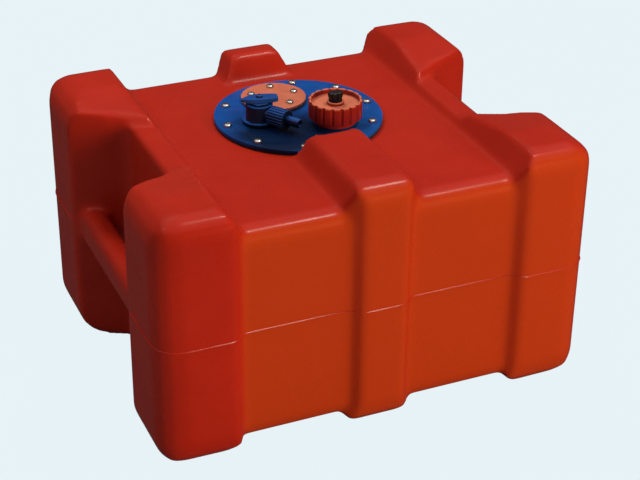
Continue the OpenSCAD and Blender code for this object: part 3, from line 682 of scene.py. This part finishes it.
knob = turned("vent_knob_winged", FILLER, KNOB_OUTLINE, KNOB_SIDES)
stretch(knob, in_flute, (FLUTE_PULL, FLUTE_PULL, 1), (*FILLER, 0))
stretch(knob, lambda place: place.z > WINGS_Z, WINGS, (*FILLER, 0))
smooth_shade(knob, degrees=40)
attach(knob, "vent")
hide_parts("vent_knob")
print("knob:", triangles(knob), "triangles")

# %% [markdown]
# ## Tap lever
# The lever is a moulded leaf: pointed at its far end, thick and square at the end for the thumb. A
# block is cut into a grid, its columns of corners are narrowed or widened one by one, and a
# subdivision surface makes it soft.

# %% Tap lever
LEVER_HALF, LEVER_HALF_WIDTH, LEVER_CORE_Z, LEVER_TURN = 21.4, 7.5, 2, -13
LEVER_COLUMNS = [(-1.0, 0.1, 0.5), (-0.75, 0.62, 0.75), (-0.5, 0.92, 0.95),
                 (-0.25, 1.05, 1.0), (0.0, 1.1, 1.0), (0.25, 1.08, 1.0),
                 (0.5, 1.0, 1.0), (0.75, 0.9, 1.0), (1.0, 0.72, 1.0)]

lever = start_block("tap_lever_leaf", (-LEVER_HALF, -LEVER_HALF_WIDTH, 0),
                    (LEVER_HALF, LEVER_HALF_WIDTH, LEVER_HIGH - LEVER_LOW))
grab(lever)
bpy.ops.mesh.subdivide(number_cuts=len(LEVER_COLUMNS) - 2)
let_go()
for share_x, width, height in LEVER_COLUMNS:
    stretch(lever, lambda place: near(place.x, share_x * LEVER_HALF), (1, width, height),
            (0, 0, LEVER_CORE_Z))
apply_modifier(lever, "SUBSURF", levels=1, render_levels=1)
lever.rotation_euler.z = math.radians(LEVER_TURN)
lever.location = (TAP[0] * MM, TAP[1] * MM, LEVER_LOW * MM)
settle(lever)
smooth_shade(lever, degrees=60)
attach(lever, "tap")
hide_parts("tap_lever")
print("lever:", triangles(lever), "triangles")

# %% [markdown]
# ## Screws
# The cover and the blank are held by bright pan-head screws. One screw is turned with a domed head
# and a pit for the driver. In the pit's rings, the corners between the four arms of a cross are
# drawn to the middle. The finished screw is copied to each place, turned a little differently each
# time, as a real set is.


# %% Pan-head screw
SCREW_SIDES, ARM_DEGREES, CROSS_PULL = 32, 14, 0.45
FIRST_TURN, NEXT_TURN = 12, 37


def pan_screw(name, shank_r, shank_l, head_r, head_h):
    """A pan-head screw at the origin, with the underside of its head at height 0."""
    pit_r = 0.5 * head_r
    shank = [(shank_r * 0.5, -shank_l), (shank_r, -shank_l + shank_r * 0.6), (shank_r, 0)]
    dome = [(head_r, 0), (head_r, 0.3 * head_h), (0.95 * head_r, 0.55 * head_h),
            (0.84 * head_r, 0.78 * head_h), (0.68 * head_r, 0.93 * head_h)]
    pit = [(pit_r, head_h), (0.9 * pit_r, 0.55 * head_h), (0.3 * pit_r, 0.4 * head_h)]
    screw = turned(name, (0, 0), shank + dome + pit, SCREW_SIDES)

    def beside_cross(place):
        angle = math.degrees(math.atan2(place.y, place.x)) % 90
        in_pit = place.z > 0.3 * head_h and place.xy.length < 1.02 * pit_r
        return in_pit and ARM_DEGREES < angle < 90 - ARM_DEGREES

    stretch(screw, beside_cross, (CROSS_PULL, CROSS_PULL, 1), (0, 0, 0))
    smooth_shade(screw, degrees=50)
    return screw


def set_screws(master, node, places, height, body):
    """Copies a screw to its places, each with its own mesh, and deletes the first one."""
    screws = []
    for count, (x, y) in enumerate(places):
        pick(master)
        bpy.ops.object.duplicate()
        screw = bpy.context.object
        screw.name = f"{node}_{count + 1}"
        screw.location = (x * MM, y * MM, height * MM)
        screw.rotation_euler.z = math.radians(NEXT_TURN * count + FIRST_TURN)
        settle(screw)
        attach(screw, body)
        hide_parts(node)
        screws.append(screw)
    bpy.data.objects.remove(master)
    return screws


def on_circle(centre, radius, angles):
    """Places on a circle, at angles in degrees."""
    turns = [math.radians(angle) for angle in angles]
    return [(centre[0] + radius * math.cos(t), centre[1] + radius * math.sin(t)) for t in turns]


COVER_SCREWS_R, COVERED_PLACE = 88, 3
BLANK_SCREWS_R, BLANK_TURN = 27, 5
cover_places = on_circle(COVER, COVER_SCREWS_R,
                         [36 * i for i in range(10) if i != COVERED_PLACE])
blank_places = on_circle(BLANK, BLANK_SCREWS_R, [72 * i + BLANK_TURN for i in range(5)])
m5 = pan_screw("screw_m5", shank_r=2.5, shank_l=14, head_r=5.2, head_h=3.4)
screws = set_screws(m5, "cover_screws", cover_places, COVER_TOP, "tank")
m4 = pan_screw("screw_m4", shank_r=2, shank_l=12.5, head_r=4.6, head_h=3.0)
screws += set_screws(m4, "sender_screws", blank_places, BLANK_TOP, "tank")
pivot = pan_screw("screw_lever", shank_r=2, shank_l=12, head_r=4, head_h=2.5)
lever_screw = set_screws(pivot, "lever_screw", [TAP], LEVER_HIGH, "tap")
print("screws:", len(screws) + 1, "of", triangles(screws[0]), "triangles each")

# %% [markdown]
# ## Finishes
# Moulded plastic is never one flat colour. The pigment lies a little unevenly, the skin is a little
# rougher in one place than in another, and the mould leaves a fine texture. One function builds
# that for every plastic: a broad noise mixes two close colours, a second one moves the roughness,
# and a fine one gives the bump.


# %% Moulded plastic
def moulded(name, colour, deep, patch_mm, grain_mm, grain_depth, roughness, specular=0.4):
    """A moulded plastic with uneven pigment, uneven gloss and a fine grain, in millimetres."""
    material, tree, shader = new_material(name)
    place = add_node(tree, "ShaderNodeTexCoord").outputs["Object"]
    cloud = add_node(tree, "ShaderNodeTexNoise",
                     {"Vector": place, "Scale": 1 / (patch_mm * MM), "Detail": 4.0,
                      "Roughness": 0.6})
    spread = add_node(tree, "ShaderNodeMapRange",
                      {"Value": cloud.outputs["Fac"], "From Min": 0.3, "From Max": 0.7})
    pigment = add_node(tree, "ShaderNodeMix",
                       {"Factor": spread.outputs[0], 6: linear(deep), 7: linear(colour)},
                       data_type="RGBA")
    gloss = add_node(tree, "ShaderNodeTexNoise",
                     {"Vector": place, "Scale": 2.7 / (patch_mm * MM), "Detail": 3.0})
    rough = add_node(tree, "ShaderNodeMapRange",
                     {"Value": gloss.outputs["Fac"], "From Min": 0.25, "From Max": 0.75,
                      "To Min": roughness - 0.06, "To Max": roughness + 0.06})
    grain = add_node(tree, "ShaderNodeTexNoise",
                     {"Vector": place, "Scale": 1 / (grain_mm * MM), "Detail": 2.0})
    bump = add_node(tree, "ShaderNodeBump",
                    {"Height": grain.outputs["Fac"], "Distance": grain_depth * MM,
                     "Strength": 1.0})
    tree.links.new(pigment.outputs[2], shader.inputs["Base Color"])
    tree.links.new(rough.outputs[0], shader.inputs["Roughness"])
    tree.links.new(bump.outputs[0], shader.inputs["Normal"])
    shader.inputs["Specular IOR Level"].default_value = specular
    return material, tree, shader, pigment


def coat(material, pieces):
    """Gives pieces one material. A CAD node gets it in its own material slots."""
    for piece in pieces:
        if piece.material_slots:
            for slot in piece.material_slots:
                slot.material = material
        else:
            piece.data.materials.append(material)


print("plastic helpers ready")

# %% [markdown]
# Rotomoulded polyethylene has a waxy, slightly wavy skin, so highlights are soft at their rims and
# the red is deep. Its orange peel is about a millimetre wide and is drawn at 4 mm, or it would not
# show. The front faces from the left rib's inner edge to the right end get an orange red mixed in,
# which is painted warm light from the front.

# %% Tank finish
# The orange red is painted warm light, put on the faces that look to the front.
PAINTED_WARM_LIGHT, PAINTED_WARM_SHARE = "#BB4415", 0.7
WARM_FROM_X, WARM_FULL_X = -168, -156
WARM_FROM_Y, WARM_FULL_Y = -140, -170

tank_plastic, tree, shader, pigment = moulded(
    "rotomoulded_polyethylene_red", TANK_RED, "#A52213", patch_mm=120, grain_mm=4,
    grain_depth=0.03, roughness=0.27, specular=0.2)
normal = add_node(tree, "ShaderNodeNewGeometry").outputs["Normal"]
facing = add_node(tree, "ShaderNodeSeparateXYZ", {0: normal})
place = add_node(tree, "ShaderNodeTexCoord").outputs["Object"]
place = add_node(tree, "ShaderNodeSeparateXYZ", {0: place})
front = add_node(tree, "ShaderNodeMapRange",
                 {"Value": facing.outputs["Y"], "From Min": -0.4, "From Max": -0.9})
right_part = add_node(tree, "ShaderNodeMapRange",
                      {"Value": place.outputs["X"], "From Min": WARM_FROM_X * MM,
                       "From Max": WARM_FULL_X * MM, "To Max": PAINTED_WARM_SHARE})
outside = add_node(tree, "ShaderNodeMapRange",
                   {"Value": place.outputs["Y"], "From Min": WARM_FROM_Y * MM,
                    "From Max": WARM_FULL_Y * MM, "To Max": right_part.outputs[0]})
# Front-facing times the place mask: where the painted warm light goes.
painted_warm_light = add_node(tree, "ShaderNodeMath", {0: front.outputs[0], 1: outside.outputs[0]},
                operation="MULTIPLY")
warm_lit_pigment = add_node(tree, "ShaderNodeMix",
                  {"Factor": painted_warm_light.outputs[0], 6: pigment.outputs[2], 7: linear(PAINTED_WARM_LIGHT)},
                  data_type="RGBA")
tree.links.new(warm_lit_pigment.outputs[2], shader.inputs["Base Color"])
coat(tank_plastic, [tank])
print("tank finish:", tank_plastic.name)

# %% [markdown]
# The cover is glass-filled nylon: blue and satin, with a fine spark-eroded grain. That grain is far
# finer than a millimetre, so here and on the other small pieces it is drawn 1.2 to 1.6 mm wide, or
# it would not show. The shadow that the tap throws forwards is painted onto the cover as a dark
# patch around and in front of it. A picture texture could show that, but a ragged dark patch, mixed
# in by its distance from one point, needs no picture and no unwrapping.

# %% Cover finish
# The dark navy patch is a painted shadow of the tap.
TAP_SHADOW_NAVY, TAP_SHADOW_SHARE, TAP_SHADOW_PLACE = "#050E20", 0.92, Vector((-35, -8, COVER_TOP)) * MM
TAP_SHADOW_OUTER, TAP_SHADOW_INNER, RAGGED_DEPTH, RAGGED_SIZE = 100, 55, 30, 25

cover_nylon, tree, shader, pigment = moulded(
    "glass_filled_nylon_blue", "#14509E", "#10448C", patch_mm=40, grain_mm=1.6,
    grain_depth=0.02, roughness=0.42, specular=0.1)
place = add_node(tree, "ShaderNodeTexCoord").outputs["Object"]
reach = add_node(tree, "ShaderNodeVectorMath", {0: place, 1: TAP_SHADOW_PLACE}, operation="DISTANCE")
ragged = add_node(tree, "ShaderNodeTexNoise",
                  {"Vector": place, "Scale": 1 / (RAGGED_SIZE * MM), "Detail": 3.0})
edge = add_node(tree, "ShaderNodeMath",
                {0: ragged.outputs["Fac"], 1: RAGGED_DEPTH * MM, 2: reach.outputs["Value"]},
                operation="MULTIPLY_ADD")
painted_tap_shadow = add_node(tree, "ShaderNodeMapRange",
                 {"Value": edge.outputs[0], "From Min": TAP_SHADOW_OUTER * MM,
                  "From Max": TAP_SHADOW_INNER * MM, "To Max": TAP_SHADOW_SHARE})
shadowed_pigment = add_node(tree, "ShaderNodeMix",
                   {"Factor": painted_tap_shadow.outputs[0], 6: pigment.outputs[2], 7: linear(TAP_SHADOW_NAVY)},
                   data_type="RGBA")
tree.links.new(shadowed_pigment.outputs[2], shader.inputs["Base Color"])
coat(cover_nylon, [cover])
print("cover finish:", cover_nylon.name)

# %% [markdown]
# The filler cap is a darker red than the tank, partly as painted shade on its sides, and its upward
# faces are mixed with salmon as painted top light. The tap is nylon too, almost black navy at its
# sides, partly its own colour and partly painted shade, with a lighter blue painted on top as top
# light. Both are satin. The way that the surface faces mixes the two colours.


# %% Cap and tap finishes
def paint_top_light(tree, shader, pigment, colour):
    """Mixes a lighter colour into the upward faces of a plastic, as painted top light."""
    normal = add_node(tree, "ShaderNodeNewGeometry").outputs["Normal"]
    facing = add_node(tree, "ShaderNodeSeparateXYZ", {0: normal})
    top_light_share = add_node(tree, "ShaderNodeMapRange",
                      {"Value": facing.outputs["Z"], "From Min": 0.4, "From Max": 0.95})
    top_lit = add_node(tree, "ShaderNodeMix",
                     {"Factor": top_light_share.outputs[0], 6: pigment.outputs[2], 7: linear(colour)},
                     data_type="RGBA")
    tree.links.new(top_lit.outputs[2], shader.inputs["Base Color"])


# Lighter upward faces and darker sides are painted top light and shade on the cap and the tap.
cap_plastic, *parts = moulded(
    "polypropylene_cap_red", "#93241C", "#801C15", patch_mm=15, grain_mm=1.6,
    grain_depth=0.02, roughness=0.42, specular=0.25)
paint_top_light(*parts, "#CF7458")
tap_nylon, *parts = moulded(
    "glass_filled_nylon_navy", "#0B1630", "#070E1E", patch_mm=20, grain_mm=1.6,
    grain_depth=0.02, roughness=0.4, specular=0.25)
paint_top_light(*parts, "#1B468C")
coat(cap_plastic, [cap])
coat(tap_nylon, [tap_body, gland, union, hose_stub, nodes["tap_nut"], nodes["tap_plug"]])
coat(tap_nylon, lever_screw)
print("bleached on top:", cap_plastic.name, tap_nylon.name)

# %% [markdown]
# The other plastics need no second colour. The lever is the same nylon in a brighter blue, and the
# blank is polyethylene that has faded to a dull salmon. The knob is black acetal, smooth enough for
# small soft lights. The seals are nitrile rubber, dull and dark, and the pickup tube and its
# strainer are natural polyethylene, which is a milky white.

# %% Plain plastics
lever_nylon = moulded("glass_filled_nylon_mid_blue", "#1C4A94", "#163C7E", patch_mm=15,
                      grain_mm=1.6, grain_depth=0.02, roughness=0.38, specular=0.3)[0]
blank_plastic = moulded("faded_polyethylene_salmon", "#CC7458", "#BE6248", patch_mm=18,
                        grain_mm=1.6, grain_depth=0.02, roughness=0.5)[0]
knob_acetal = moulded("acetal_black", "#15161A", "#0C0C0F", patch_mm=8,
                      grain_mm=1.2, grain_depth=0.02, roughness=0.45)[0]
rubber = moulded("nitrile_rubber_black", "#17181A", "#0E0F10", patch_mm=10,
                 grain_mm=1.2, grain_depth=0.03, roughness=0.75, specular=0.25)[0]
tube_plastic = moulded("natural_polyethylene", "#E4E1D6", "#D8D3C4", patch_mm=20,
                       grain_mm=1.6, grain_depth=0.02, roughness=0.45)[0]
SEALS = ("cover_gasket", "sender_gasket", "cap_seal", "vent_seal", "tap_seal", "plug_seal")

coat(lever_nylon, [lever])
coat(blank_plastic, [blank])
coat(knob_acetal, [knob])
coat(rubber, [nodes[name] for name in SEALS])
coat(tube_plastic, [nodes["pickup_tube"], nodes["pickup_strainer"]])
print("plastics:", [m.name for m in bpy.data.materials if m.users])

# %% [markdown]
# The screws are stainless steel, rolled and tumbled, so they are bright with faint scuffs, which
# are drawn 1.5 mm wide, or they would not show. The inserts are turned brass, which is a little
# rougher. Both are metals: their colour is the colour of their reflection.


# %% Metals
def metal(name, colour, deep, scuff_mm, roughness):
    """A metal with scuffed gloss."""
    material, tree, shader = new_material(name)
    place = add_node(tree, "ShaderNodeTexCoord").outputs["Object"]
    scuff = add_node(tree, "ShaderNodeTexNoise",
                     {"Vector": place, "Scale": 1 / (scuff_mm * MM), "Detail": 3.0})
    tint = add_node(tree, "ShaderNodeMix",
                    {"Factor": scuff.outputs["Fac"], 6: linear(deep), 7: linear(colour)},
                    data_type="RGBA")
    rough = add_node(tree, "ShaderNodeMapRange",
                     {"Value": scuff.outputs["Fac"], "From Min": 0.3, "From Max": 0.7,
                      "To Min": roughness - 0.08, "To Max": roughness + 0.08})
    bump = add_node(tree, "ShaderNodeBump",
                    {"Height": scuff.outputs["Fac"], "Distance": 0.02 * MM})
    tree.links.new(tint.outputs[2], shader.inputs["Base Color"])
    tree.links.new(rough.outputs[0], shader.inputs["Roughness"])
    tree.links.new(bump.outputs[0], shader.inputs["Normal"])
    shader.inputs["Metallic"].default_value = 1.0
    return material


stainless = metal("stainless_steel_tumbled", "#E2E2E0", "#C9C9C6", scuff_mm=1.5, roughness=0.22)
brass = metal("brass_turned", "#D8B76A", "#BE9A4E", scuff_mm=1.5, roughness=0.3)
coat(stainless, screws)
coat(brass, [nodes["cover_inserts"], nodes["sender_inserts"]])
print("metals:", stainless.name, brass.name)
